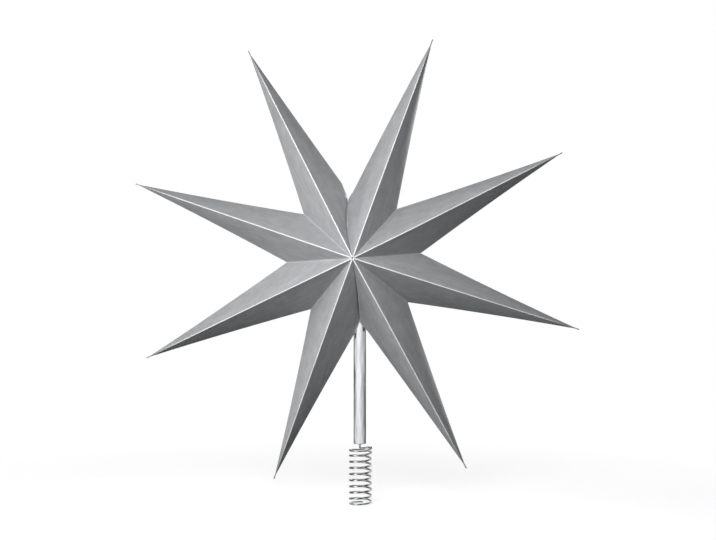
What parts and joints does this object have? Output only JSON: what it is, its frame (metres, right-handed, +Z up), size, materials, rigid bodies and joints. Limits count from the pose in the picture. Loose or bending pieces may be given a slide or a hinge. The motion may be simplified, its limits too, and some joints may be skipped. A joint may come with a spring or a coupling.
{
  "type": "christmas tree topper star",
  "caption": "Folded silver-grey paper star with long points, on a bright steel tube that ends in an open coil spring which slips over the top shoot of a tree.",
  "frame": {"origin": "centre of the coil spring's lower mouth, on the axis of spring and tube, level with the lowest wire", "axes": "+Z up along the tube, -Y the side that faces the room, +X to the right seen from there"},
  "size_m": [0.2852, 0.077, 0.3006],
  "materials": {
    "silver_paper": "silver-grey metallic print on white card",
    "rolled_card": "plain rolled card",
    "hook_nylon": "grey woven nylon hooks",
    "loop_nylon": "grey nylon loops",
    "bright_steel": "drawn and bright plated",
    "bush_plastic": "moulded grey",
    "spring_wire": "bright drawn spring wire"
  },
  "bodies": {
    "coil": {"spring": "spring_wire"},
    "stem": {"tube": "bright_steel", "bush": "bush_plastic"},
    "star": {"point_1_left_leaf": "silver_paper", "point_1_right_leaf": "silver_paper", "point_2_left_leaf": "silver_paper", "point_2_right_leaf": "silver_paper", "point_3_left_leaf": "silver_paper", "point_3_right_leaf": "silver_paper", "point_4_left_leaf": "silver_paper", "point_4_right_leaf": "silver_paper", "point_5_left_leaf": "silver_paper", "point_5_right_leaf": "silver_paper", "point_6_left_leaf": "silver_paper", "point_6_right_leaf": "silver_paper", "point_7_left_leaf": "silver_paper", "point_7_right_leaf": "silver_paper", "point_8_left_leaf": "silver_paper", "point_8_right_leaf": "silver_paper", "thimble": "rolled_card", "front_hook_patch": "hook_nylon", "front_loop_patch": "loop_nylon", "back_hook_patch": "hook_nylon", "back_loop_patch": "loop_nylon"}
  },
  "joints": [
    {"name": "spring_sway", "type": "hinge", "parent": "coil", "child": "stem", "pos_m": [0, 0, 0.03], "axis": [0, 1, 0], "range_deg": [-12, 12], "stiffness_Nm_per_rad": 0.2, "deforming": ["spring"]},
    {"name": "star_swivel", "type": "hinge", "parent": "stem", "child": "star", "pos_m": [0, 0, 0.1493], "axis": [0, 0, 1], "continuous": true}
  ]
}
